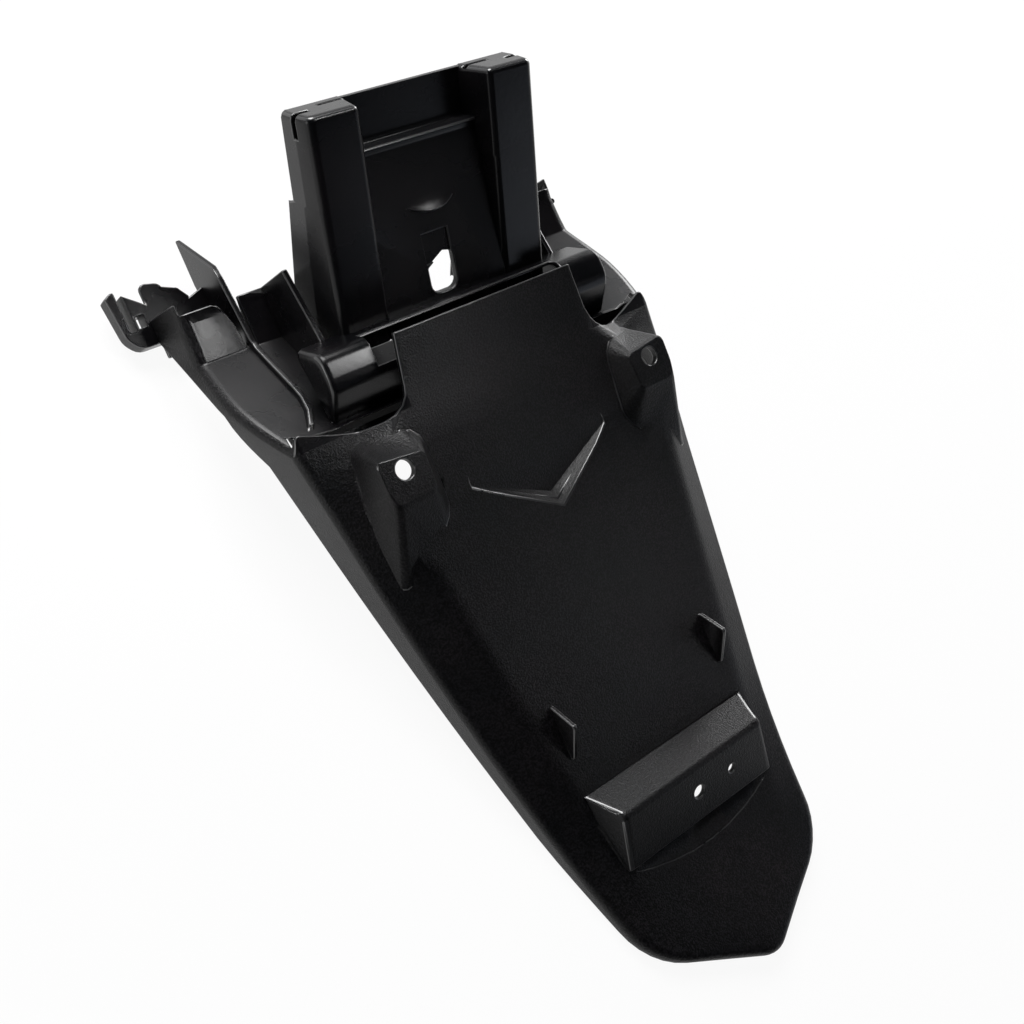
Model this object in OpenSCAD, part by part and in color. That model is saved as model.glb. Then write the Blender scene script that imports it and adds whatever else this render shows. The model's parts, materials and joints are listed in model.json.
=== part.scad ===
// Rear fender of a small motorcycle, moulded in one piece from black plastic.
// It is drawn in the flap's own frame: X across, Y from the tip to the tongue, Z outwards.
// At the end the whole moulding is turned and set down on its skirt and its two side hooks.

/* [Sheet] */
// Wall thickness of the moulding
wall = 2.5; // [2:0.1:3.2]
// Outer radius where the sheet turns down into the skirt
skirt_bend_r = 5; // [3.5:0.5:8]
// How far each side of the crease the panel is rounded
crease_reach = 7; // [2:0.5:10]

/* [Flap] */
// Length from the tip to the edge of the lip
flap_l = 301; // [285:1:315]
// Length of the lip beyond the end of the flap beside it
lip_l = 30; // [24:0.5:36]
// Width of the lip at its edge
lip_w = 90; // [80:1:100]
// Width of the lip at its root
lip_root_w = 97; // [90:1:104]
// Width over the skirt at the end of the flap
flap_w = 191.6; // [182:0.2:204]
// Width over the skirt at the corners of the tip
tip_w = 113.2; // [104:0.2:120]
// Distance from the point of the tip to its corners
tip_l = 41.5; // [38:0.5:46]
// Angle of the two edges of the pointed tip
tip_angle = 27; // [20:1:32]
// Radius of the rounded point
point_r = 14; // [8:1:20]
// Radius of the corners of the tip
corner_r = 34; // [28:1:36]
// How far the sides bow out
side_bow = 2.5; // [0:0.1:4]
// Depth of the panel below the edge of the lip
panel_sink = 6; // [4:0.5:8]
// Length over which the tip flares outwards
flare_l = 108; // [96:1:116]
// Height of the flare at the point
flare_h = 22; // [14:1:26]
// Width of the flat panel in line with the corners of the tip
panel_tip_w = 80; // [70:1:86]
// Width of the flat panel at the mounting bosses
panel_boss_w = 135; // [126:1:142]
// Drop from the panel to the skirt at the end of the flap
band_drop = 14.5; // [10:0.5:18]
// Depth of the skirt at the point
skirt_tip_h = 4.5; // [4:0.5:6]
// Depth of the skirt's lower edge below the lip, 87 mm from the point
skirt_z = 21.2; // [19:0.2:24]
// Fall of the skirt's lower edge per millimetre of length
skirt_fall = 0.145; // [0.135:0.001:0.155]
// How far the skirt leans out
skirt_draft = 1; // [0.6:0.1:2]
// Height of the raised shield on the panel
shield_h = 1.6; // [0:0.1:2.4]

/* [Chevron] */
// Width across the two tips of the chevron
chevron_w = 72; // [60:1:80]
// Distance of the chevron's tips from the edge of the lip
chevron_gap = 67.5; // [63:0.5:73]
// Depth of the chevron at its apex
chevron_h = 5.4; // [3:0.2:6.4]

/* [Bosses] */
// Distance between the two mounting holes
hole_gap = 130; // [126:0.5:134]
// Distance of the mounting holes from the edge of the lip
hole_back = 49.6; // [47:0.2:53]
// Diameter of the mounting holes
hole_d = 8; // [6:0.5:9]
// Size of the square pad on each boss
pad_w = 20; // [18:0.5:22]

/* [Reflector bracket] */
// Width of the bracket at its base
bracket_w = 93; // [88:0.5:96]
// Height of the bracket's front edge above the panel
bracket_h = 15; // [12:0.5:17]
// Diameter of the hole for the reflector's stud
stud_d = 6; // [5:0.5:7]
// Diameter of the hole for the reflector's locating pin
pin_d = 4; // [3:0.5:5]
// Distance from the stud hole to the pin hole
pin_gap = 20; // [16:0.5:24]

/* [Tray] */
// Steepness of the tray's floor
floor_angle = 41.3; // [40:0.1:43]
// Depth of the tray's shelf below the lip
shelf_z = 62.5; // [61:0.5:64]
// Distance from the edge of the lip to the rear edge of the shelf
shelf_reach = 41; // [38:0.5:45]
// Depth of the lower deck below the lip
deck_z = 86; // [84:0.5:90]

/* [Tongue] */
// Angle of the tongue above the flap
tongue_angle = 31; // [28:0.5:34]
// Length of the tongue's posts
tongue_l = 83.6; // [76:0.2:90]
// Width over the fronts of the two posts
posts_w = 105.4; // [100:0.2:110]
// Width of one post's front
post_w = 22; // [18:0.5:24]
// Width of the slot through the tongue's foot
slot_w = 13; // [10:0.5:18]
// Height of the slot through the tongue's foot
slot_l = 16; // [12:0.5:18]

/* [Hidden] */
bend_steps = 4;
crease_steps = 3;
arc_steps = 6;
side_step = 12;

// Frame stations along the flap
flap_end = flap_l - lip_l;
wing_y = flap_end + 1;
soft_y = flap_l - 19;
crease_y = flap_l - 43;
dish_y = flap_l - 66;
straight_y = 87;
chevron_y = flap_l - chevron_gap;
hole_y = flap_l - hole_back;
tray_l = flap_l + shelf_reach;

function mix(a, b, t) = a + (b - a) * t;
function unit_range(t) = min(1, max(0, t));
function flat(points) = [for (p = points) each p];
function hyp(v) = sqrt(v * v);

// Corner p between a and b rounded with n + 1 points, starting reach before the corner
function bend(a, p, b, reach, n) =
    let (u = (a - p) / hyp(a - p), v = (b - p) / hyp(b - p),
        s = p + u * reach, e = p + v * reach,
        w = sin(acos(unit_range(abs(u * v)) * sign(u * v)) / 2))
    [for (k = [0:n]) let (t = k / n, q = (1 - t) * (1 - t), c = 2 * w * t * (1 - t))
        (q * s + c * p + t * t * e) / (q + c + t * t)];

// Polygon with every corner rounded, each by its own reach
function rounded(points, reach, n = 4) =
    let (m = len(points))
    flat([for (i = [0:m - 1])
        bend(points[(i + m - 1) % m], points[i], points[(i + 1) % m],
            is_list(reach) ? reach[i] : reach, n)]);

module both_sides() {
    children();
    mirror([1, 0, 0]) children();
}

// Solid through a run of loops that all have the same number of points
module skin(loops) {
    n = len(loops[0]);
    m = len(loops);
    sides = [for (i = [0:m - 2], k = [0:n - 1])
        let (a = i * n + k, b = i * n + (k + 1) % n)
        each [[a, b + n, b], [a, a + n, b + n]]];
    lids = [[for (k = [0:n - 1]) k], [for (k = [n - 1:-1:0]) (m - 1) * n + k]];
    polyhedron(flat(loops), concat(sides, lids), convexity = 6);
}

// Flat plate in the YZ plane, centred on x
module side_plate(x, thickness, outline)
    translate([x - thickness / 2, 0, 0])
        rotate([90, 0, 90])
            linear_extrude(thickness) polygon(outline);

// Height of the flap along its middle
function flare(y) = flare_h * pow(max(0, flare_l - y) / flare_l, 2);
soft_l = 7;
function panel_z(y) = flare(y) + lookup(y, [
    [0, -panel_sink], [flare_l, -panel_sink], [dish_y - 30, -panel_sink - 1.5],
    [dish_y - soft_l, -panel_sink - 2.2], [dish_y, -panel_sink - 2.1],
    [dish_y + soft_l, -panel_sink - 1.35], [crease_y - soft_l, -panel_sink - 0.1],
    [crease_y, -panel_sink + 0.7], [crease_y + soft_l, -panel_sink + 1.2],
    [soft_y, -panel_sink + 2], [flap_l, 0]]);
// Height of the crease between the side band and the skirt
function drop(y) = let (t = unit_range((y - tip_l + 6) / (dish_y - 15 - tip_l)))
    1 + (band_drop - 1) * (1 - pow(1 - t, 1.25));
function crease_z(y) = flare(y) - panel_sink - drop(y);
// Height of the skirt's lower edge
skirt_lift = crease_z(0) - skirt_tip_h + skirt_z - skirt_fall * straight_y;
function skirt_low(y) = -skirt_z - skirt_fall * (y - straight_y)
    + skirt_lift * pow(max(0, straight_y - y) / straight_y, 1.3);

// Half width over the skirt, and over the flat panel
side_taper = (flap_w - tip_w) / 2 / (wing_y - tip_l);
function half_w(y) = tip_w / 2 + side_taper * (y - tip_l)
    + side_bow * sin(180 * unit_range((y - tip_l) / (wing_y - tip_l)));
function panel_half(y) = mix(panel_tip_w, panel_boss_w, (y - tip_l) / (dish_y - 18 - tip_l)) / 2;

// Plan outline of the tip, from the point to its corner
side_angle = 90 - atan(side_taper);
corner_c = [tip_w / 2 - corner_r * sin(side_angle), tip_l + corner_r * cos(side_angle)];
edge_start = corner_c + corner_r * [sin(tip_angle), -cos(tip_angle)];
point_y = edge_start[1] - tan(tip_angle) * edge_start[0] + point_r * (1 / cos(tip_angle) - 1);
tip_outline = concat(
    [for (k = [0:3]) let (a = tip_angle * k / 3)
        [point_r * sin(a), point_y + point_r * (1 - cos(a))]],
    [let (p = [point_r * sin(tip_angle), point_y + point_r * (1 - cos(tip_angle))])
        (p + edge_start) / 2],
    [for (k = [0:arc_steps]) let (a = mix(tip_angle, side_angle, k / arc_steps))
        corner_c + corner_r * [sin(a), -cos(a)]]);
tip_rows = len(tip_outline);

// The raised shield: half width, and height on its middle
shield_y = flare_l + 4;
shield_end = dish_y - 17;
function shield_half(y) = y < shield_y + 8 ? 12
    : max(12, 46 * pow(unit_range((y - shield_y) / (shield_end - shield_y)), 0.52));
function shield_top(y) = shield_h * unit_range((y - shield_y) / 38)
    * unit_range((dish_y + 6 - y) / 12);

// One row of the outer surface: from the middle out to the skirt's lower edge
function flap_row(mid_y, edge, sp) =
    let (m = [0, mid_y], len_r = hyp(edge - m), dir = (edge - m) / len_r,
        r2 = len_r - skirt_draft,
        y1 = max(tip_l, edge[1]),
        f1 = panel_half(y1) / half_w(y1),
        end_t = unit_range((edge[1] - dish_y) / (flap_end - dish_y)),
        r1 = mix(f1 * len_r, lip_root_w / 2 + 2, end_t * end_t),
        rs = min(shield_half(mid_y), 0.68 * r1) * (edge[1] < tip_l ? len_r / half_w(tip_l) : 1),
        y_of = function (r) m[1] + dir[1] * r,
        z1 = panel_z(y_of(r1)), z2 = crease_z(y_of(r2)), z3 = skirt_low(edge[1]),
        rb = mix(r1, r2, mix(0.5, 0.39, end_t)),
        zb = mix(z1, z2, mix(0.5, 0.79, end_t)),
        k = [[0, panel_z(mid_y) + sp], [rs * 0.6, panel_z(y_of(rs * 0.6)) + sp],
            [rs, panel_z(y_of(rs))], [r1, z1], [rb, zb], [r2, z2], [len_r, z3]])
    row_points(k);

// Crease and skirt bends put into a row of key points
function row_points(k) =
    let (turn = acos(((k[4] - k[5]) * (k[6] - k[5])) / hyp(k[4] - k[5]) / hyp(k[6] - k[5])),
        reach = min(skirt_bend_r / tan(turn / 2), 0.8 * hyp(k[6] - k[5])))
    concat([k[0], k[1], k[2]],
        bend(k[2], k[3], k[4], min(crease_reach, 0.4 * hyp(k[4] - k[3])), crease_steps),
        [k[4]], bend(k[4], k[5], k[6], reach, bend_steps), [k[6]]);

// The same row moved inwards by the wall; steep is the sheet's slope along Y
function inner_row(row, steep) =
    let (n = len(row))
    [for (i = [0:n - 1])
        let (a = i == 0 ? [-row[1][0], row[1][1]] : row[i - 1], b = row[min(i + 1, n - 1)],
            d1 = (row[i] - a) / hyp(row[i] - a),
            d2 = i == n - 1 ? d1 : (b - row[i]) / hyp(b - row[i]),
            d = (d1 + d2) / hyp(d1 + d2), grow = 1 / max(0.8, d * d1))
        row[i] + wall * grow * [i == 0 ? 0 : d[1], i == n - 1 ? 0 : -d[0] / cos(steep)]];

function place(row, mid_y, edge) =
    let (m = [0, mid_y], dir = (edge - m) / hyp(edge - m))
    [for (p = row) [dir[0] * p[0], mid_y + dir[1] * p[0], p[1]]];

// Sheet from rows of points: outer and inner skins, lower edges and end faces
module sheet(outer, inner, pointed) {
    n = len(outer);
    c = len(outer[0]);
    flip = [-1, 1, 1];
    points = concat(flat(outer), flat(inner),
        [for (r = outer, p = r) [for (a = [0:2]) p[a] * flip[a]]],
        [for (r = inner, p = r) [for (a = [0:2]) p[a] * flip[a]]]);
    // The middle column is shared by both halves, and so is the first row of a pointed sheet
    half = n * c;
    function at(side, skin, i, j) = (j == 0 || (pointed && i == 0) ? 0 : side) * 2 * half
        + skin * half + i * c + j;
    function quad(a, b, c, d, turned) = turned ? [[a, b, c], [a, c, d]] : [[a, c, b], [a, d, c]];
    faces = [for (side = [0, 1]) each concat(
        [for (skin = [0, 1], i = [0:n - 2], j = [0:c - 2])
            each quad(at(side, skin, i, j), at(side, skin, i + 1, j),
                at(side, skin, i + 1, j + 1), at(side, skin, i, j + 1), side == skin)],
        [for (i = [0:n - 2])
            each quad(at(side, 0, i, c - 1), at(side, 0, i + 1, c - 1),
                at(side, 1, i + 1, c - 1), at(side, 1, i, c - 1), side == 0)],
        [for (j = [0:c - 2])
            each quad(at(side, 0, n - 1, j), at(side, 0, n - 1, j + 1),
                at(side, 1, n - 1, j + 1), at(side, 1, n - 1, j), side == 1)],
        pointed ? [] : [for (j = [0:c - 2])
            each quad(at(side, 0, 0, j), at(side, 0, 0, j + 1),
                at(side, 1, 0, j + 1), at(side, 1, 0, j), side == 0)])];
    polyhedron(points, faces, convexity = 10);
}

// Rows of the flap: a fan round the tip, then straight across
mid_start = 30;
fan_end = 100;
function mid_of(y) = y + 20 * (1 - unit_range((y - tip_l) / (fan_end - tip_l)));
side_stations = concat(
    [for (y = [tip_l + side_step:side_step:dish_y - 15]) y],
    [dish_y - soft_l, dish_y, dish_y + soft_l, crease_y - soft_l, crease_y, crease_y + soft_l,
        wing_y, soft_y, flap_l]);
flap_edges = concat(tip_outline, [for (y = side_stations) [half_w(y), y]]);
flap_mids = concat(
    [for (i = [0:tip_rows - 1]) mix(mid_start, mid_of(tip_l), i / (tip_rows - 1))],
    [for (y = side_stations) mid_of(y)]);
flap_rows = [for (i = [0:len(flap_edges) - 1])
    flap_row(flap_mids[i], flap_edges[i], shield_top(flap_mids[i]))];

module flap_sheet()
    sheet([for (i = [0:len(flap_rows) - 1]) place(flap_rows[i], flap_mids[i], flap_edges[i])],
        [for (i = [0:len(flap_rows) - 1])
            place(inner_row(flap_rows[i], 0), flap_mids[i], flap_edges[i])], true);

// Plan of what is cut away beside the lip
notch_r = 10;
seam = 0.3;
module lip_cut() {
    far = flap_l + 20;
    wide = flap_w / 2 + 20;
    outline = rounded([
        [lip_w / 2 - 0.6, far], [lip_w / 2, flap_l], [lip_root_w / 2 + 0.3, flap_end],
        [flap_w / 2 - 28.3, flap_end], [flap_w / 2 - 15.8, flap_end + 4],
        [flap_w / 2 - 4.2, flap_end + 8.5],
        [flap_w / 2 - 1.4, wing_y + seam], [wide, wing_y + seam], [wide, far]],
        [0.5, 3, notch_r, 4, 4, 2, 0.5, 0.5, 0.5]);
    translate([0, 0, -shelf_z]) linear_extrude(2 * shelf_z) polygon(outline);
}

module flap() difference() {
    flap_sheet();
    both_sides() lip_cut();
}

fin_x = flap_w / 2 - 20.8;
arch_x = fin_x + 9;
well_w = flap_w - 73.6;
// Rows of the tray: its floor falls away behind the flap and levels out as the shelf
floor_top = crease_z(wing_y);
skirt_under_floor = 9;
step_y = wing_y + (shelf_z + floor_top) / tan(floor_angle);
wing_low_z = deck_z + 1;
function slope_z(y) = floor_top - tan(floor_angle) * (y - wing_y);
function floor_z(y) = max(-shelf_z, slope_z(y));
function wing_half(y) = let (t = y - wing_y)
    flap_w / 2 - skirt_draft + 7.2 * sin(90 * unit_range(t / 28))
    - 1.3 * (1 - cos(180 * unit_range((t - 28) / 22)));
function wing_low_half(y) = flap_w / 2 + 7.4 * sin(90 * unit_range((y - wing_y) / 30));
function wing_low(y) = max(-wing_low_z, min(skirt_low(y), slope_z(y) - skirt_under_floor));
kink_y = wing_y + (floor_top - skirt_under_floor - skirt_low(wing_y)) / (tan(floor_angle) - skirt_fall);
level_y = wing_y + (wing_low_z + floor_top - skirt_under_floor) / tan(floor_angle);
tray_end = tray_l + 5;
tray_stations = [wing_y + 5, wing_y + 10, wing_y + 15, wing_y + 20, kink_y, wing_y + 29,
    wing_y + 34, wing_y + 38, wing_y + 42, step_y - 2.5, step_y, step_y + 1.2, step_y + 7,
    level_y, tray_l - 0.5, tray_end];
// Depth of the hollow in the shelf between the side crease and the arched opening
gutter_h = 1.6;
function tray_row(y) =
    let (z = floor_z(y), w = wing_half(y), low = y > step_y + 1 && y < tray_l - 1 ? gutter_h : 0,
        k = [[0, z], [20, z], [well_w / 2, z], [fin_x + 5, z - low], [w - 9, z - low], [w, z],
            [wing_low_half(y), wing_low(y)]])
    row_points(k);
tray_rows = concat([flap_rows[len(flap_rows) - 3]], [for (y = tray_stations) tray_row(y)]);
tray_steep = concat([0], [for (y = tray_stations) y < step_y ? floor_angle : 0]);

module tray_sheet() {
    ys = concat([wing_y], tray_stations);
    sheet([for (i = [0:len(ys) - 1]) place(tray_rows[i], ys[i], [1, ys[i]])],
        [for (i = [0:len(ys) - 1]) place(inner_row(tray_rows[i], tray_steep[i]), ys[i], [1, ys[i]])],
        false);
}

// Openings in the tray: the crescent beside the flap, the well under the tongue and the rear
well_y = flap_l;
well_sink = 0.4;
module tray_cuts() {
    tall = 2 * shelf_z;
    translate([0, 0, -tall]) linear_extrude(2 * tall) {
        // crescent between the end of the flap and the tray
        both_sides() polygon([[0, wing_y - 2], [flap_w / 2 - 1.5, wing_y - 2],
            [flap_w / 2 - 3.6, flap_end + 8.8], [flap_w / 2 - 11.8, flap_end + 5.7],
            [flap_w / 2 - 19.8, flap_end + 4.4], [flap_w / 2 - 29.8, flap_end + 4.9],
            [0, flap_end + 4.9]]);
        // well under the tongue
        translate([-well_w / 2 - well_sink, well_y]) square([well_w + 2 * well_sink, tray_l]);
        // rear edge of the shelf
        translate([-wing_half(tray_l) + 1, tray_l]) square([2 * wing_half(tray_l) - 2, 20]);
        // arched openings beside the fins
        both_sides() polygon(concat(
            [[fin_x - wall, tray_end + 1], [fin_x - wall, step_y + 1.6]],
            [for (k = [0:arc_steps]) let (a = 90 * k / arc_steps)
                [arch_x - 7 * cos(a), step_y + 1.6 + (tray_l - step_y - 2) * sin(a)]],
            [[arch_x, tray_end + 1]]));
    }
}

module tray() difference() {
    tray_sheet();
    tray_cuts();
}

// Fins that run down the tray floor and end in pointed blades
fin_h = 4;
fin_back = 34.5;
fin_drop = 30;
fin_root = 1.5;
module fins() both_sides() side_plate(fin_x, wall, [
    [step_y - 29, slope_z(step_y - 29) - fin_root], [step_y - 24, slope_z(step_y - 24) + fin_h],
    [step_y - 1, -shelf_z + fin_h], [step_y + 3, -shelf_z + fin_h - 1.5],
    [tray_l + 9, -shelf_z - 2], [tray_l + 15, -shelf_z - 4],
    [tray_l + fin_back, -shelf_z - fin_drop],
    [tray_l + 14, -deck_z - 7], [tray_l - 14, -deck_z - 2],
    [step_y - 1, -shelf_z - 8]]);

// Foot of the left fin, turning outwards down the floor
module fin_foot() mirror([1, 0, 0])
    skin([for (q = [[7.4, 41.5, -0.5], [5.5, 38.5, 2.6], [2.2, 33, fin_h], [0.3, 27, fin_h],
            [0, 22, fin_h]])
        let (y = step_y - q[1], x = fin_x + q[0], t = wall / 2)
        [[x - t, y, slope_z(y) - fin_root], [x - t, y, slope_z(y) + q[2]],
            [x + t, y, slope_z(y) + q[2]], [x + t, y, slope_z(y) - fin_root]]]);

// Lower deck behind the shelf
hook_h = 9.5;
hook_foot_y = tray_l - 5;
deck_x = flap_w / 2 + 6;
hook_reach = 15;
module deck() both_sides() translate([0, 0, -deck_z - wall]) linear_extrude(wall)
    polygon(concat([[fin_x, tray_l + 12], [fin_x, tray_l - 12], [deck_x, tray_l - 12]],
        bend([deck_x, tray_l - 12], [deck_x, tray_l + 3], [fin_x, tray_l + 12], 4, 3)));

// Foot on the right, under the end of the side wall
module foot() translate([0, 0, -deck_z - hook_h]) linear_extrude(hook_h)
    polygon(rounded([[deck_x - 3, hook_foot_y], [deck_x + hook_reach, hook_foot_y],
        [deck_x + hook_reach, hook_foot_y + 2.5], [deck_x - 3, tray_l + 1]], [1, 1, 1, 1], 3));

// Cable hook and ear on the left end of the deck
module hook() mirror([1, 0, 0]) {
    translate([0, 0, -deck_z - wall]) linear_extrude(wall)
        polygon(concat([[deck_x - 19, tray_l + 10], [deck_x - 19, tray_l - 2], [deck_x, tray_l - 2]],
            bend([deck_x, tray_l], [deck_x, tray_l + 21], [deck_x - 10, tray_l + 19], 3, 3),
            bend([deck_x, tray_l + 21], [deck_x - 9, tray_l + 19], [deck_x - 10, tray_l + 16], 2, 3),
            bend([deck_x - 10, tray_l + 15.5], [deck_x - 16, tray_l + 15], [deck_x - 17, tray_l + 12],
                1.5, 3)));
    translate([0, 0, -deck_z - hook_h]) linear_extrude(hook_h)
        difference() {
            polygon(rounded([[deck_x - 3, hook_foot_y], [deck_x + 9, hook_foot_y],
                [deck_x + 13.4, tray_l + 0.6], [deck_x + hook_reach, tray_l + 19],
                [deck_x + 11.5, tray_l + 21.6], [deck_x + 6, tray_l + 17],
                [deck_x - 3, tray_l + 10]],
                [1, 3, 2.5, 0.5, 2, 1, 1], 3));
            // slot of the clip
            translate([deck_x + 8.2, tray_l + 3]) square([2.3, 30]);
            // eye beside it
            translate([deck_x + 3, tray_l + 3.5]) square([3.4, 5]);
        }
}

// Strip that carries the tray's front edge under the end of the flap
module front_strip() {
    low = floor_z(flap_end + 5.5) - 3;
    side_plate(0, flap_w - 4.4 * wall, [
        [flap_end - 10, low - 1], [flap_end + 2, low], [flap_end + 5, low + 2.4],
        [flap_end + 10, floor_z(flap_end + 10) - 0.6], [flap_end + 10, low - wall - 3],
        [flap_end + 4, low - wall], [flap_end - 10, low - wall - 1]]);
}

// Raised ledge between the lip and the tongue, with closed ends
ledge_w = flap_w - 45.6;
ledge_top_z = -12.3;
ledge_end_y = flap_l + 2.5;
ledge_r = 3;
function ledge_loop(x, inset) =
    [for (q = rounded([[wing_y + 5 + inset, floor_z(wing_y + 5) - 1.5],
        [flap_l - 11 + 0.6 * inset, ledge_top_z - inset],
        [ledge_end_y - inset, ledge_top_z - 0.4 - inset], [ledge_end_y + 6.5 - inset, -30]],
        [0.5, 4, 4, 0.5], 4)) [x, q[0], q[1]]];
module ledge() difference() {
    skin([for (q = [[1, 0, 1], [1, 0.3, 0.3], [1, 1, 0], [-1, 1, 0], [-1, 0.3, 0.3], [-1, 0, 1]])
        ledge_loop(q[0] * (ledge_w / 2 - ledge_r * q[1]), ledge_r * q[2])]);
    skin([for (side = [1, -1])
        [for (q = ledge_loop(side * (ledge_w / 2 - ledge_r - wall), 0)) q - [0, 0.6, wall * 1.15]]]);
    // the middle is cut down below the lip
    translate([-(lip_w + 10) / 2, flap_l - 9, -20]) cube([lip_w + 10, 20, 20]);
}

// Ribs under the lip that tie it to the floor of the tray
rib_gap = 30;
rib_t = 2;
module lip_ribs() for (x = [-rib_gap, 0, rib_gap])
    side_plate(x, rib_t, [[crease_y, panel_z(crease_y) - 1], [flap_l - 12, -3 - wall / 2],
        [flap_l - 12, floor_z(flap_l - 12) - 1], [flap_end + 4, floor_z(flap_end + 4) - 2],
        [flap_end - 8, floor_z(flap_end + 5) - 3]]);

// Walls of the well under the tongue
module well_walls() both_sides() {
    side_plate(well_w / 2 + wall / 2, wall, [
        [flap_l - 3, -shelf_z], [flap_l - 3, -30], [tray_l - 40, -28], [tray_l, -36],
        [tray_l, -shelf_z - 2]]);
}

// The tongue lies in its own frame: Y up its front, Z out of its front
tongue_y = flap_l + 9.1;
tongue_z = -24;
module in_tongue_frame()
    translate([0, tongue_y, tongue_z]) rotate([tongue_angle, 0, 0]) children();

// Depth of a post at height s up the tongue
post_foot = -12;
function post_depth(s) = s > 48.5 ? mix(20.7, 18.5, (s - 48.5) / (tongue_l - 48.5))
    : mix(24.6, 38, (48 - s) / 60);
plate_half = 27;
plate_edge = posts_w / 2 - post_w + 0.3;
plate_end = tongue_l - 0.4;
ridge = 0.8;
function post_loop(s, inset, front) =
    let (d = post_depth(s), x0 = posts_w / 2 - post_w, x1 = posts_w / 2, spread = 1.2,
        mid = mix(front, d, 0.5), side = x1 + spread / 2 + ridge - inset)
    [for (p = rounded([[x0 + inset, -front], [x1 - inset, -front],
        [side, -mid], [x1 + spread - inset, -d], [plate_half + inset, -d]],
        [max(0.4, 2.2 - inset), max(0.4, 3 - inset), 0.5, 0.4, 0.4], 3)) [p[0], s, p[1]]];
post_stations = [post_foot, 10, 30, 48, 49, 66];
top_r = 2.4;
module post() difference() {
    skin(concat([for (s = post_stations) post_loop(s, 0, 0)],
        [for (q = [[1, 0], [0.3, 0.3], [0, 1]])
            post_loop(tongue_l - top_r * q[0], 0.9 * top_r * q[1], top_r * q[1])]));
    skin([for (s = concat([post_foot - 2], [for (k = [1:5]) post_stations[k]], [tongue_l - wall]))
        [for (p = post_loop(s, wall, wall)) p[2] < -post_depth(s) + 1 ? p - [0, 0, 3] : p]]);
    // slot in the outer side of the top, and the groove across it
    translate([posts_w / 2 - 6, tongue_l - 9, -11]) cube([12, 12, 2.6]);
    translate([plate_half + 1.5, tongue_l - 1.6, -14.6]) cube([12, 4, 1.8]);
}

// Front of the plate between the posts, at height s
ledge_s = 63;
ledge_step = 6.1;
plate_top = -10.6;
function plate_n(s) = mix(1, plate_top, (s - post_foot) / (ledge_s - 1 - post_foot));
rim = 0.8;
recess_l = 9;
recess_w = 13;
slot_top = 16;
module tongue_plate() difference() {
    low = plate_top - ledge_step;
    side_plate(0, 2 * plate_edge, [[post_foot, plate_n(post_foot)],
        [ledge_s - 2.6, plate_n(ledge_s - 2.6)], [ledge_s - 1.8, plate_top + rim],
        [ledge_s + 0.4, plate_top + rim], [ledge_s + 1, plate_top - 0.3], [ledge_s + 1.2, low],
        [plate_end, low], [plate_end, low - wall], [ledge_s - 1.4, low - wall],
        [ledge_s - 1.6, plate_top - wall], [post_foot, plate_n(post_foot) - wall - 1]]);
    // slot, with one corner cut off, and the shallow recess above it
    translate([-0.6, 0, 0]) linear_extrude(60, center = true)
        polygon(rounded([[-slot_w / 2, slot_top - slot_l], [slot_w / 2, slot_top - slot_l],
            [slot_w / 2, slot_top - 1], [slot_w / 2 - 4, slot_top], [-slot_w / 2, slot_top - 5]],
            [4, 4, 1, 0.6, 0.6]));
    side_plate(-1, recess_w, [[slot_top - 3, plate_n(slot_top) + 2], [slot_top + recess_l,
        plate_n(slot_top) + 2], [slot_top + recess_l, plate_n(slot_top + recess_l) - 1.2],
        [slot_top - 3, plate_n(slot_top - 3) - 1.2]]);
}

// Lens-shaped catch on the plate
catch_s = 37.5;
catch_half = 13;
catch_w = 9;
catch_h = 3.6;
catch_root = 0.8;
module catch() skin([for (k = [6:-1:-6])
    let (x = catch_half * sin(k * 15), q = max(0.05, 1 - pow(x / catch_half, 2)),
        low = catch_s - catch_w / 2 * q, top = catch_s + catch_w / 2 * q,
        crest = low + 0.15 * catch_w * q)
    [[x, low - 0.3, plate_n(low) - catch_root],
        [x, crest, plate_n(crest) - catch_root + (catch_h + catch_root) * q],
        [x, top + 0.3, plate_n(top) - catch_root]]]);

module tongue() in_tongue_frame() {
    both_sides() post();
    tongue_plate();
    catch();
}

// Height of the flap's outer face, away from the tip
function face_z(x, y) = lookup(x, flap_row(y, [half_w(y), y], 0));

// Mounting bosses beside the panel, hollow from below
boss_foot = [[-17, -23], [13.2, -44], [15.4, -15], [10, 16.5], [-16, 12.5]];
boss_top = [[-10, -12.2], [8.6, -12.4], [10.2, -6], [10.6, 6.6], [-10.8, 4.2]];
boss_top_z = 2;
boss_wall = 3.5;
boss_foot_reach = [7, 4, 12, 7, 8];
boss_top_reach = 2.4;
boss_lean = [0, -3.4];
function boss_loop(t, h, shrink) =
    let (c = [hole_gap / 2, hole_y], k = pad_w / 20, s = unit_range(t),
        plan = rounded([for (i = [0:4]) c + mix(boss_foot[i], boss_top[i] * k, t) * shrink
            + boss_lean * (1 - shrink) * (1 - s)],
            [for (i = [0:4]) mix(boss_foot_reach[i], boss_top_reach, s) * shrink], 3))
    [for (q = plan) [q[0], q[1], mix(face_z(q[0], q[1]), boss_top_z, h)]];
module boss() skin([boss_loop(-0.1, -0.1, 1), boss_loop(-0.08, 0.01, 1), boss_loop(0.03, 0.05, 1),
    boss_loop(0.16, 0.16, 1), boss_loop(0.9, 0.88, 1), boss_loop(0.97, 0.95, 1),
    boss_loop(1, 0.985, 0.99), boss_loop(1, 1, 0.95)]);
module boss_hollow() skin([
    [for (q = boss_loop(0.1, 0, 0.78)) [q[0], q[1], -shelf_z / 2]],
    [for (q = boss_loop(0.1, 0, 0.78)) q - [0, 0, 0.4 * wall]],
    [for (q = boss_loop(1, 1, 0.76)) [q[0], q[1], boss_top_z - boss_wall]]]);

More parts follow.
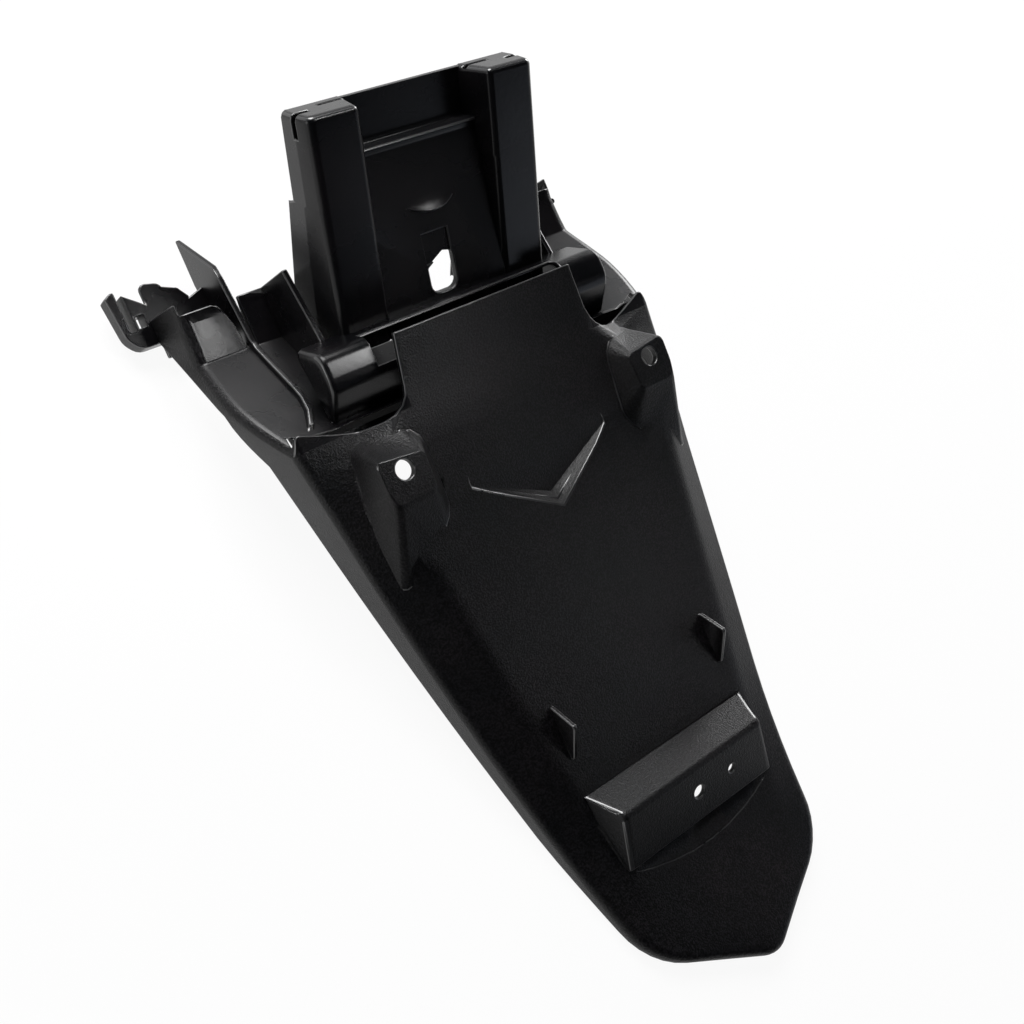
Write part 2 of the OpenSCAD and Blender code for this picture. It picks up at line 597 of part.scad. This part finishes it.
// Chevron pressed into the panel
chevron_in_y = chevron_y - 17;
chevron_out_y = chevron_y - 24;
module chevron_cut() {
    half = chevron_w / 2;
    z_tip = panel_z(chevron_y) - 0.1;
    z_in = panel_z(chevron_in_y) + shield_h - chevron_h;
    z_out = panel_z(chevron_out_y) + shield_h;
    rise = 10;
    up = [0, chevron_out_y - chevron_in_y, z_out - z_in] * rise / (z_out - z_in);
    far = chevron_y + 40;
    z_far = z_tip + (z_tip - z_in) / (chevron_y - chevron_in_y) * 40;
    skin([
        [[0, chevron_in_y, z_in], [half, chevron_y, z_tip], [half, far, z_far],
            [-half, far, z_far], [-half, chevron_y, z_tip]],
        [[0, chevron_in_y, z_in] + up, [half, chevron_y, z_tip] + up, [half, far, z_far + rise],
            [-half, far, z_far + rise], [-half, chevron_y, z_tip] + up]]);
}
module chevron_back() {
    half = chevron_w / 2;
    z_in = panel_z(chevron_in_y) + shield_h - chevron_h;
    z_top = panel_z(chevron_in_y) - 0.4 * wall;
    skin([
        [[0, chevron_in_y - 2, z_in - wall], [half - 2, chevron_y - 1, z_top - wall],
            [-half + 2, chevron_y - 1, z_top - wall]],
        [[0, chevron_out_y - 5, z_top], [half + 3, chevron_y + 1, z_top],
            [-half - 3, chevron_y + 1, z_top]]]);
}

// Wedge-shaped reflector bracket, hollow from below
bracket_foot_y = 62;
bracket_top_y = 87.5;
bracket_back_y = 98;
bracket_top_z = bracket_h - panel_sink;
bracket_slope = atan2(bracket_top_z, bracket_top_y - 1 - bracket_foot_y);
function slope_line(y) = (y - bracket_foot_y) * tan(bracket_slope);
bracket_foot_half = bracket_w / 2 - 3.5;
bracket_round = 3;
module bracket() {
    z = panel_z(bracket_foot_y) - 3.5;
    top_z = bracket_top_z + 0.3;
    back_z = panel_z(bracket_back_y) + 0.6;
    skin([for (q = [[1, 0, 1], [1, 0.1, 0.55], [1, 0.45, 0.15], [1, 1, 0],
            [-1, 1, 0], [-1, 0.45, 0.15], [-1, 0.1, 0.55], [-1, 0, 1]])
        let (drop = bracket_round * q[2], f = q[0] * (bracket_foot_half - bracket_round * q[1]),
            t = f - q[0] * 1.5, top = bend([bracket_foot_y, -drop], [bracket_top_y, top_z - drop],
                [bracket_back_y, back_z - 0.1 * drop], 2.6, 4))
        concat([[f, bracket_foot_y, z], [f, bracket_foot_y, -0.3 * drop]],
            [for (p = top) [t, p[0], p[1]]],
            [[f + q[0] * 3.5, bracket_back_y, back_z - 0.1 * drop],
            [f + q[0] * 3.5, bracket_back_y, z]])]);
}
module bracket_hollow() {
    down = wall / cos(bracket_slope);
    y0 = bracket_foot_y + 1.4 * wall;
    y1 = bracket_top_y - 1;
    skin([for (side = [1, -1]) let (f = side * (bracket_foot_half - wall))
        [[f, y0, -20], [f, y0, slope_line(y0) - down], [f, y1, slope_line(y1) - down],
            [f, y1 + 0.4, bracket_top_z - down - 0.3],
            [f, bracket_back_y - 1.3 * wall, panel_z(bracket_back_y) - 1],
            [f, bracket_back_y - 1.3 * wall, -20]]]);
}
// Small upright gussets behind the reflector bracket
gusset_y = bracket_back_y + 16.5;
gusset_t = 2;
module gussets() both_sides() translate([0, gusset_y, -panel_sink])
    side_plate(bracket_w / 2 - 3, gusset_t, [[23.5, -1.5], [23.5, 0.4], [15.7, 11.8], [14, 11.4],
        [0, 1.5], [0, -1.5]]);

// Crescent pressed into the sheet below the bracket
function crescent(x) = 1 - pow(x / 44, 2);
crescent_xs = [for (k = [6:-1:-6]) 43 * sin(k * 15)];
module crescent_cut() skin([for (x = crescent_xs)
    let (d = 3.2 * crescent(x), w = 9.5 * crescent(x), z = face_z(0, bracket_foot_y))
    [[x, bracket_foot_y + 0.01, 6], [x, bracket_foot_y + 0.01, z - d + 1],
        [x, bracket_foot_y - w, panel_z(bracket_foot_y - w)],
        [x, bracket_foot_y - w - 2, 6]]]);
module crescent_back() skin([for (x = crescent_xs)
    let (w = 3 + 6 * crescent(x), y0 = bracket_foot_y + 3, y1 = bracket_foot_y - w)
    [[x, y0, panel_z(y0) - 1], [x, y0, panel_z(y0) - 2.2 * wall + 0.8],
        [x, y1, panel_z(y1) - 1.3 * wall], [x, y1, panel_z(y1) - 1]]]);
// Holes through the bracket's sloping face
stud_y = 75;
module stud_bores() translate([0, stud_y, slope_line(stud_y)])
    rotate([bracket_slope, 0, 0]) {
        cylinder(h = 3 * wall, d = stud_d, center = true, $fn = 32);
        translate([pin_gap, 0, 0]) cylinder(h = 3 * wall, d = pin_d, center = true, $fn = 32);
    }

// Everything joined, in the flap's own frame
module moulding() difference() {
    union() {
        difference() {
            union() {
                flap();
                chevron_back();
                crescent_back();
            }
            both_sides() boss_hollow();
            bracket_hollow();
        }
        tray();
        front_strip();
        fins();
        fin_foot();
        deck();
        foot();
        hook();
        ledge();
        lip_ribs();
        well_walls();
        tongue();
        both_sides() difference() {
            boss();
            boss_hollow();
        }
        gussets();
        difference() {
            bracket();
            bracket_hollow();
        }
    }
    both_sides() translate([hole_gap / 2, hole_y, -10]) cylinder(h = 40, d = hole_d, $fn = 48);
    stud_bores();
    chevron_cut();
    crescent_cut();
}

// Resting attitude: the skirt's lowest point and the feet of the hooks touch the ground
touch_y = tip_l + 3 * side_step;
hook_foot_z = -deck_z - hook_h;
rest_angle = atan2(skirt_low(touch_y) - hook_foot_z, hook_foot_y - touch_y);
function rested(y, z) = [y * cos(rest_angle) - z * sin(rest_angle),
    y * sin(rest_angle) + z * cos(rest_angle)];
blade_tip = [tray_l + fin_back, -shelf_z - fin_drop];
y_low = rested(point_y, skirt_low(point_y))[0];
y_high = rested(blade_tip[0], blade_tip[1])[0];
z_low = rested(touch_y, skirt_low(touch_y))[1];
module rear_fender() color([0.05, 0.05, 0.06])
    translate([0, -(y_low + y_high) / 2, -z_low]) rotate([rest_angle, 0, 0]) moulding();

rear_fender();
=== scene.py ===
# %% [markdown]
# # A motorcycle's rear fender, moulded in black plastic
#
# This lesson dresses one moulded part for a product picture. The shape comes in finished, as a
# solid model in metres. What is left to do here is what makes plastic look like plastic: soft
# edges that catch the light, a fine grain on the side that people see, a smoother skin inside,
# and a plain bright studio.

# %% Load the part
import json
import math

import bmesh
import bpy
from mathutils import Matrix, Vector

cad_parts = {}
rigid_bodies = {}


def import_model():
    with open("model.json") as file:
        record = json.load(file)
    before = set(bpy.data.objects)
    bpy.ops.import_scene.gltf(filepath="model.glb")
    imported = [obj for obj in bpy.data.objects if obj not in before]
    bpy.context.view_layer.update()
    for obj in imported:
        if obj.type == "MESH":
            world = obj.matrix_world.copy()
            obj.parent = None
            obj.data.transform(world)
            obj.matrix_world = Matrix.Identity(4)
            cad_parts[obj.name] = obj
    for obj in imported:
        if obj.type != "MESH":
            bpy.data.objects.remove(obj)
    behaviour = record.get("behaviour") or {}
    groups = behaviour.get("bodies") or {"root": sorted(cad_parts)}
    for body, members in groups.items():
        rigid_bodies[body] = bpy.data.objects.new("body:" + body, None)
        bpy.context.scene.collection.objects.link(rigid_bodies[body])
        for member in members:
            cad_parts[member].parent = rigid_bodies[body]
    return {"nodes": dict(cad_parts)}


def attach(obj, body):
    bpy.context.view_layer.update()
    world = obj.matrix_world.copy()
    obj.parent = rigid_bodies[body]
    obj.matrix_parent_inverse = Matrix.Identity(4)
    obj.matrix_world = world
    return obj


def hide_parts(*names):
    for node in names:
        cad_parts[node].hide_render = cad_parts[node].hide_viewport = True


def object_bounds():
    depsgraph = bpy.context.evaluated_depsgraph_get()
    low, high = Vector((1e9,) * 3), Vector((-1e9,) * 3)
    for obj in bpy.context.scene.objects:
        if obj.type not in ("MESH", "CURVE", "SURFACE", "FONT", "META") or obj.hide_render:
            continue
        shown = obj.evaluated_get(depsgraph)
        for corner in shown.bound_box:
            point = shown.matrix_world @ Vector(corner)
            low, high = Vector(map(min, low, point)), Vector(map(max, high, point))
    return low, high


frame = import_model()
part_low, part_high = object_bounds()
moulding_node = frame["nodes"]["rear_fender"]
MM = 0.001
print("the part measures", [round((b - a) / MM, 1) for a, b in zip(part_low, part_high)], "mm")

# %% [markdown]
# ## The camera
#
# A product photographer holds the part up and looks down on it from one side, with a lens that
# keeps the far end only a little smaller than the near end. A 42 mm lens on a 36 mm sensor does
# that. The camera is rolled as well, so the fender runs across the picture from the upper left
# to the lower right.

# %% The camera
CAMERA_PLACE = (-0.2664, -0.0433, 0.4713)
CAMERA_TURN = (22.311, -21.704, -33.743)
LENS = 42.19
SENSOR = 36.0

bpy.ops.object.select_all(action="DESELECT")
bpy.ops.object.camera_add(location=CAMERA_PLACE, rotation=[math.radians(a) for a in CAMERA_TURN])
camera = bpy.context.active_object
camera.name = "product_camera"
camera.data.sensor_width = SENSOR
camera.data.lens = LENS
bpy.context.scene.camera = camera
bpy.context.scene.view_settings.view_transform = "Standard"
print("camera", round(camera.location.length, 3), "m from the middle of the floor")

# %% [markdown]
# ## Materials are small node trees
#
# Every finish below starts as a Principled shader. One helper makes the tree and hands it back,
# a second one adds a node with its settings, and a third joins a row of sockets. With them, each
# finish reads as a short recipe: what is made, and what is plugged into what.


# %% Helpers for node trees
def new_finish(name):
    """A new material, its node tree and the Principled shader in it."""
    finish = bpy.data.materials.new(name)
    finish.use_nodes = True
    tree = finish.node_tree
    shader = tree.nodes["Principled BSDF"]
    return finish, tree, shader


def put(tree, kind, **settings):
    """One node of that kind, with its settings and its numbered or named inputs filled in."""
    node = tree.nodes.new(kind)
    inputs = settings.pop("inputs", {})
    for name, value in settings.items():
        setattr(node, name, value)
    for name, value in inputs.items():
        node.inputs[name].default_value = value
    return node


def join(tree, *pairs):
    """Plug each pair together, an output of one node into an input of another."""
    for output, socket in pairs:
        tree.links.new(output, socket)


# %% [markdown]
# ## The studio floor
#
# The floor is a white sweep. A black part on a white floor would make the camera's meter shut
# down, and the picture editor then lifts the floor to pure white. The Light Path node does the
# same here: what the camera and reflections see of the floor is mostly plain white, while the
# rest of it still takes the part's shadow.

# %% The floor
FLOOR_SIZE = 8.0
FLOOR_GAP = 0.2 * MM

bpy.ops.object.select_all(action="DESELECT")
bpy.ops.mesh.primitive_plane_add(size=FLOOR_SIZE, location=(0, 0, part_low.z - FLOOR_GAP))
floor = bpy.context.active_object
floor.name = "studio_floor"
bpy.ops.object.transform_apply(location=True, rotation=True, scale=True)
print("floor", FLOOR_SIZE, "m wide")

# %% The floor's white
FLOOR_WHITE = 0.9
PLAIN_SHARE = 0.93

floor_finish, tree, shader = new_finish("studio_white")
shader.inputs["Base Color"].default_value = (FLOOR_WHITE, FLOOR_WHITE, FLOOR_WHITE, 1)
shader.inputs["Roughness"].default_value = 1.0
shader.inputs["Specular IOR Level"].default_value = 0.0
path = put(tree, "ShaderNodeLightPath")
plain = put(tree, "ShaderNodeEmission", inputs={"Color": (1, 1, 1, 1), "Strength": 1.0})
seen = put(tree, "ShaderNodeMath", operation="MAXIMUM")
seen_at_all = put(tree, "ShaderNodeMath", operation="MAXIMUM")
share = put(tree, "ShaderNodeMath", operation="MULTIPLY", inputs={1: PLAIN_SHARE})
mix = put(tree, "ShaderNodeMixShader")
join(tree,
     (path.outputs["Is Camera Ray"], seen.inputs[0]),
     (path.outputs["Is Glossy Ray"], seen.inputs[1]),
     (seen.outputs[0], seen_at_all.inputs[0]),
     (path.outputs["Is Transmission Ray"], seen_at_all.inputs[1]),
     (seen_at_all.outputs[0], share.inputs[0]),
     (share.outputs[0], mix.inputs[0]),
     (shader.outputs[0], mix.inputs[1]),
     (plain.outputs[0], mix.inputs[2]),
     (mix.outputs[0], tree.nodes["Material Output"].inputs["Surface"]))
floor.data.materials.append(floor_finish)
print("floor finish", len(tree.nodes), "nodes")

# %% [markdown]
# ## The room
#
# Black plastic shows almost nothing of its own colour. What the eye reads is the room mirrored in
# it. So the room has a white wall behind the part and on both sides, as high as a photographer's
# paper roll, and is dark overhead and in front. Faces that look up at the camera mirror the
# ceiling and stay black, and faces that turn away mirror the wall and go grey. The height of a
# direction above the floor, plus a share of how far it points to the front, picks its place on a
# colour ramp.


# %% A helper for colour ramps
def ramp(tree, start, start_colour, end, end_colour):
    """A colour ramp that goes from one colour at start to the other at end."""
    node = put(tree, "ShaderNodeValToRGB")
    first, last = node.color_ramp.elements
    first.position, last.position = start, end
    first.color, last.color = (*start_colour, 1), (*end_colour, 1)
    return node


# %% White walls and a dark ceiling
WALL_TOP = 0.22
WALL_WHITE = (0.86, 0.87, 0.88)
CEILING_START = 0.5
CEILING_DARK = (0.030, 0.032, 0.036)
FRONT_SHARE = 0.42

world = bpy.data.worlds.new("studio_room")
bpy.context.scene.world = world
world.use_nodes = True
tree = world.node_tree
sky = tree.nodes["Background"]
sky.inputs["Strength"].default_value = 1.0
towards = put(tree, "ShaderNodeTexCoord")
split = put(tree, "ShaderNodeSeparateXYZ")
front = put(tree, "ShaderNodeMapRange",
            inputs={"From Min": 0.1, "From Max": -0.6, "To Min": 0.0, "To Max": FRONT_SHARE})
lifted = put(tree, "ShaderNodeMath", operation="ADD")
height = ramp(tree, WALL_TOP, WALL_WHITE, CEILING_START, CEILING_DARK)
join(tree,
     (towards.outputs["Generated"], split.inputs[0]),
     (split.outputs["Y"], front.inputs["Value"]),
     (split.outputs["Z"], lifted.inputs[0]),
     (front.outputs["Result"], lifted.inputs[1]),
     (lifted.outputs[0], height.inputs["Fac"]),
     (height.outputs["Color"], sky.inputs["Color"]))
print("room", len(tree.nodes), "nodes")

# %% [markdown]
# ## The lamps
#
# The lamps are soft boxes. The main one stands behind the tongue and shines along the part, which
# draws a thin bright line on each edge that faces it. Three weaker ones stand to the left, to the
# right and in front. The last two are small and narrow: each lays a soft pool of light where the
# room alone would leave a face quite black, one on the middle of the flap and one on the rounded
# ledge between the flap and the tongue.


# %% Lamps
def soft_box(name, place, aim, size, power, spread=180, tint=(1, 1, 1)):
    """A square lamp at place, turned to shine on aim; spread is the angle it fills, in degrees."""
    bpy.ops.object.select_all(action="DESELECT")
    bpy.ops.object.light_add(type="AREA", location=place)
    lamp = bpy.context.active_object
    lamp.name = name
    lamp.data.shape = "SQUARE"
    lamp.data.size = size
    lamp.data.energy = power
    lamp.data.spread = math.radians(spread)
    lamp.data.color = tint
    reach = [a - p for a, p in zip(aim, place)]
    flat = math.hypot(reach[0], reach[1])
    lamp.rotation_euler = (math.atan2(flat, -reach[2]), 0, math.atan2(-reach[0], reach[1]))


soft_box("box_behind", (0.0, 1.1, 0.98), aim=(0, 0.02, 0.04), size=0.8, power=28)
soft_box("box_left", (-1.1, 0.25, 0.2), aim=(0, 0.02, 0.04), size=0.5, power=2.3)
soft_box("box_right", (1.0, 0.6, 0.2), aim=(0, 0.05, 0.05), size=0.5, power=9)
soft_box("box_front", (0.95, -0.85, 0.3), aim=(0, 0, 0.05), size=0.6, power=1.1,
         tint=(0.82, 0.88, 1.0))
soft_box("box_near", (0.31, -0.29, 0.46), aim=(0.01, -0.045, 0.06), size=0.14, power=0.011,
         spread=28)
soft_box("box_top", (0.09, 0.077, 0.354), aim=(-0.05, 0.11, 0.09), size=0.1, power=0.017,
         spread=24)

# %% [markdown]
# ## Grained plastic
#
# The steel mould for the outer face is spark-eroded, which leaves a fine dull grain on the
# plastic. Noise at just under a millimetre gives the grain, and a second, larger noise makes the
# roughness wander a little, as it does where the melt flowed and cooled unevenly. The same fine
# noise also paints shade into the black in the pits of the grain and paints lighter black on its
# tops, in place of the light that the pits would swallow.

# %% The black plastic
BLACK = (0.0022, 0.0025, 0.0030)
BLACK_WARM = (0.0050, 0.0040, 0.0048)
FLOW_SCALE = 22.0


def black_plastic(name, roughness, wander, grain_size, grain_height, specular, painted_pit_shade):
    """Black plastic with a grain of that size and height in metres.

    Wander is how far the roughness strays to either side. The last argument is how much the grain
    paints shade into the black in its pits and lighter black on its tops, from 0 for not at all.
    """
    finish, tree, shader = new_finish(name)
    shader.inputs["Specular IOR Level"].default_value = specular
    place = put(tree, "ShaderNodeTexCoord")
    flow = put(tree, "ShaderNodeTexNoise",
               inputs={"Scale": FLOW_SCALE, "Detail": 4.0, "Roughness": 0.6})
    grain = put(tree, "ShaderNodeTexNoise",
                inputs={"Scale": 1 / grain_size, "Detail": 2.0, "Roughness": 0.55})
    tint = ramp(tree, 0.35, BLACK, 0.68, BLACK_WARM)
    # Painted shade: the grain's low spots darken the black and its high spots lighten it.
    pit_shade_factor = put(tree, "ShaderNodeMapRange",
                inputs={"From Min": 0.44, "From Max": 0.62,
                        "To Min": 1 - painted_pit_shade, "To Max": 1 + painted_pit_shade})
    pit_shaded_tint = put(tree, "ShaderNodeVectorMath", operation="SCALE")
    dull = put(tree, "ShaderNodeMapRange",
               inputs={"From Min": 0.3, "From Max": 0.7,
                       "To Min": roughness - wander, "To Max": roughness + wander})
    lift = put(tree, "ShaderNodeBump", inputs={"Strength": 1.0, "Distance": grain_height})
    join(tree,
         (place.outputs["Object"], flow.inputs["Vector"]),
         (place.outputs["Object"], grain.inputs["Vector"]),
         (flow.outputs["Fac"], tint.inputs["Fac"]),
         (grain.outputs["Fac"], pit_shade_factor.inputs["Value"]),
         (tint.outputs["Color"], pit_shaded_tint.inputs[0]),
         (pit_shade_factor.outputs["Result"], pit_shaded_tint.inputs["Scale"]),
         (pit_shaded_tint.outputs[0], shader.inputs["Base Color"]),
         (flow.outputs["Fac"], dull.inputs["Value"]),
         (dull.outputs["Result"], shader.inputs["Roughness"]),
         (grain.outputs["Fac"], lift.inputs["Height"]),
         (lift.outputs["Normal"], shader.inputs["Normal"]))
    return finish


# %% [markdown]
# ## Three finishes of the same plastic
#
# The outer face is dull and grained. The inside comes off polished steel, so it is smoother. Where
# hands and packing paper have rubbed an edge, its grain is gone and it shines most.

# %% The three finishes
# The last number sets the painted pit shade: full on the grained face, a little on satin, none on
# the rubbed edges.
grained = black_plastic("grained_black", roughness=0.42, wander=0.04, grain_size=0.8 * MM,
                        grain_height=0.26 * MM, specular=0.22, painted_pit_shade=1.0)
satin = black_plastic("satin_black", roughness=0.27, wander=0.05, grain_size=1.6 * MM,
                      grain_height=0.03 * MM, specular=0.25, painted_pit_shade=0.1)
rubbed = black_plastic("rubbed_edge_black", roughness=0.30, wander=0.04, grain_size=1.6 * MM,
                       grain_height=0.02 * MM, specular=1.0, painted_pit_shade=0.0)
print("finishes", grained.name, satin.name, rubbed.name)

# %% [markdown]
# ## The moulding
#
# The solid model is one closed piece with knife-sharp edges. A real moulding never has those: the
# mould maker leaves a radius of a few tenths of a millimetre on every corner, and that radius is
# what catches the light. So the solid is copied first and its loose triangles are joined into
# whole faces, ready for a narrow bevel later on.

# %% Copy the solid and join its triangles
SAME_PLACE = 0.002 * MM
SAME_PLANE = math.radians(0.4)

bpy.ops.object.select_all(action="DESELECT")
moulding_node.select_set(True)
bpy.context.view_layer.objects.active = moulding_node
bpy.ops.object.duplicate()
moulding = bpy.context.active_object
moulding.name = "fender_moulding"
moulding.data.name = "fender_moulding"
bpy.ops.object.parent_clear(type="CLEAR_KEEP_TRANSFORM")
for key in [k for k in moulding.keys() if k.startswith("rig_")]:
    del moulding[key]

bpy.ops.object.mode_set(mode="EDIT")
bpy.ops.mesh.select_mode(type="FACE")
bpy.ops.mesh.select_all(action="SELECT")
bpy.ops.mesh.remove_doubles(threshold=SAME_PLACE)
bpy.ops.mesh.dissolve_limited(angle_limit=SAME_PLANE)
bpy.ops.mesh.select_all(action="DESELECT")
bpy.ops.object.mode_set(mode="OBJECT")
print("moulding", len(moulding.data.polygons), "faces")

# %% [markdown]
# ## Winding faces
#
# Some of the joined faces are narrow strips that wind round an opening, with very many sides on
# little area. Blender can't fill such a face safely once a bevel has moved its edges, so these few
# are cut into triangles again.

# %% Cut up the winding faces
MANY_SIDES = 60
NARROW_AREA = 900 * MM ** 2

for face in moulding.data.polygons:
    face.select = len(face.vertices) > MANY_SIDES and face.area < NARROW_AREA
winding = sum(face.select for face in moulding.data.polygons)
bpy.ops.object.mode_set(mode="EDIT")
bpy.ops.mesh.quads_convert_to_tris(quad_method="BEAUTY", ngon_method="BEAUTY")
bpy.ops.object.mode_set(mode="OBJECT")
print("winding faces cut up", winding)

# %% [markdown]
# ## Which side gets the grain
#
# Only the outside of the flap, of its lip and of the side walls is grained. The tongue, the tray
# and the underside get the smoother finish, which takes a clearer reflection. The flap leans 16.5
# degrees in this scene, so each face is first measured along the flap, from a start at its tip.
# The limits are read off the solid: the flap ends 270 mm from its tip, and the lip reaches on to
# 302 mm and stays within 49 mm of the middle. A side wall lies beyond 90 mm and faces outwards.

# %% Grained outside, satin inside
LEAN = math.radians(16.476)
START_Y = -0.1916
START_Z = -4 * MM
FLAP_FAR = 0.270
LIP_FAR = 0.302
LIP_HALF = 0.049
LIP_LOW = -0.009
WALL_SIDE = 0.09
WALL_FACING = 0.35
UNDERSIDE = -0.3


def in_flap_frame(point):
    """How far a point lies along the flap from its tip, and how high above it, in metres."""
    y, z = point.y - START_Y, point.z - START_Z
    return (y * math.cos(LEAN) + z * math.sin(LEAN), z * math.cos(LEAN) - y * math.sin(LEAN))


moulding.data.materials.clear()
for finish in (grained, satin, rubbed):
    moulding.data.materials.append(finish)
GRAINED, SATIN, RUBBED = range(3)
for face in moulding.data.polygons:
    along, above = in_flap_frame(face.center)
    on_lip = along < LIP_FAR and above > LIP_LOW and abs(face.center.x) < LIP_HALF
    on_wall = abs(face.center.x) > WALL_SIDE and abs(face.normal.x) > WALL_FACING
    outside = face.normal.z > UNDERSIDE and (along < FLAP_FAR or on_lip or on_wall)
    face.material_index = GRAINED if outside else SATIN
print("grained faces", sum(f.material_index == GRAINED for f in moulding.data.polygons))

# %% [markdown]
# ## Soft edges
#
# The narrow bevel faces get the rubbed finish, which is smoother and shinier than both sides of
# them. Only edges that stand out are marked for it: the inside corners stay crisp and dull. The
# mark is a weight on each edge, which the Bevel modifier reads.

# %% Mark the outward edges
SHARP = math.radians(38.0)

corners = bmesh.new()
corners.from_mesh(moulding.data)
outward = [e.is_manifold and e.is_convex and e.calc_face_angle() > SHARP for e in corners.edges]
corners.free()
marks = moulding.data.attributes.new("bevel_weight_edge", "FLOAT", "EDGE")
marks.data.foreach_set("value", [float(is_outward) for is_outward in outward])
print("outward edges", sum(outward), "of", len(outward))

# %% Soften them
EDGE_RADIUS = 0.6 * MM

bpy.ops.object.modifier_add(type="BEVEL")
edge = moulding.modifiers[-1]
edge.width = EDGE_RADIUS
edge.segments = 3
edge.limit_method = "WEIGHT"
edge.use_clamp_overlap = False
edge.miter_outer = "MITER_ARC"
edge.material = RUBBED
bpy.ops.object.modifier_apply(modifier=edge.name)
print("moulding", len(moulding.data.polygons), "faces with its edges softened")

# %% [markdown]
# ## Smooth shading
#
# Faces that meet at a small angle are shaded as one curve. Weighted normals let the large flat
# faces keep their own direction, so that only the narrow bevels bend the light.

# %% Shade it
bpy.ops.object.shade_smooth_by_angle(angle=SHARP)
bpy.ops.object.modifier_add(type="WEIGHTED_NORMAL")
normals = moulding.modifiers[-1]
normals.mode = "FACE_AREA"
normals.weight = 50
normals.keep_sharp = True
bpy.ops.object.modifier_apply(modifier=normals.name)
print("shaded", moulding.name)

# %% [markdown]
# ## The moulding stands for the solid
#
# The fender has no moving parts, so the dressed copy simply rides on the one body there is. It
# hides the plain solid in pictures, while the solid itself stays as it was.

# %% Tie the moulding to the solid
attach(moulding, "root")
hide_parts("rear_fender")
print(moulding.name, "stands for", moulding_node.name)
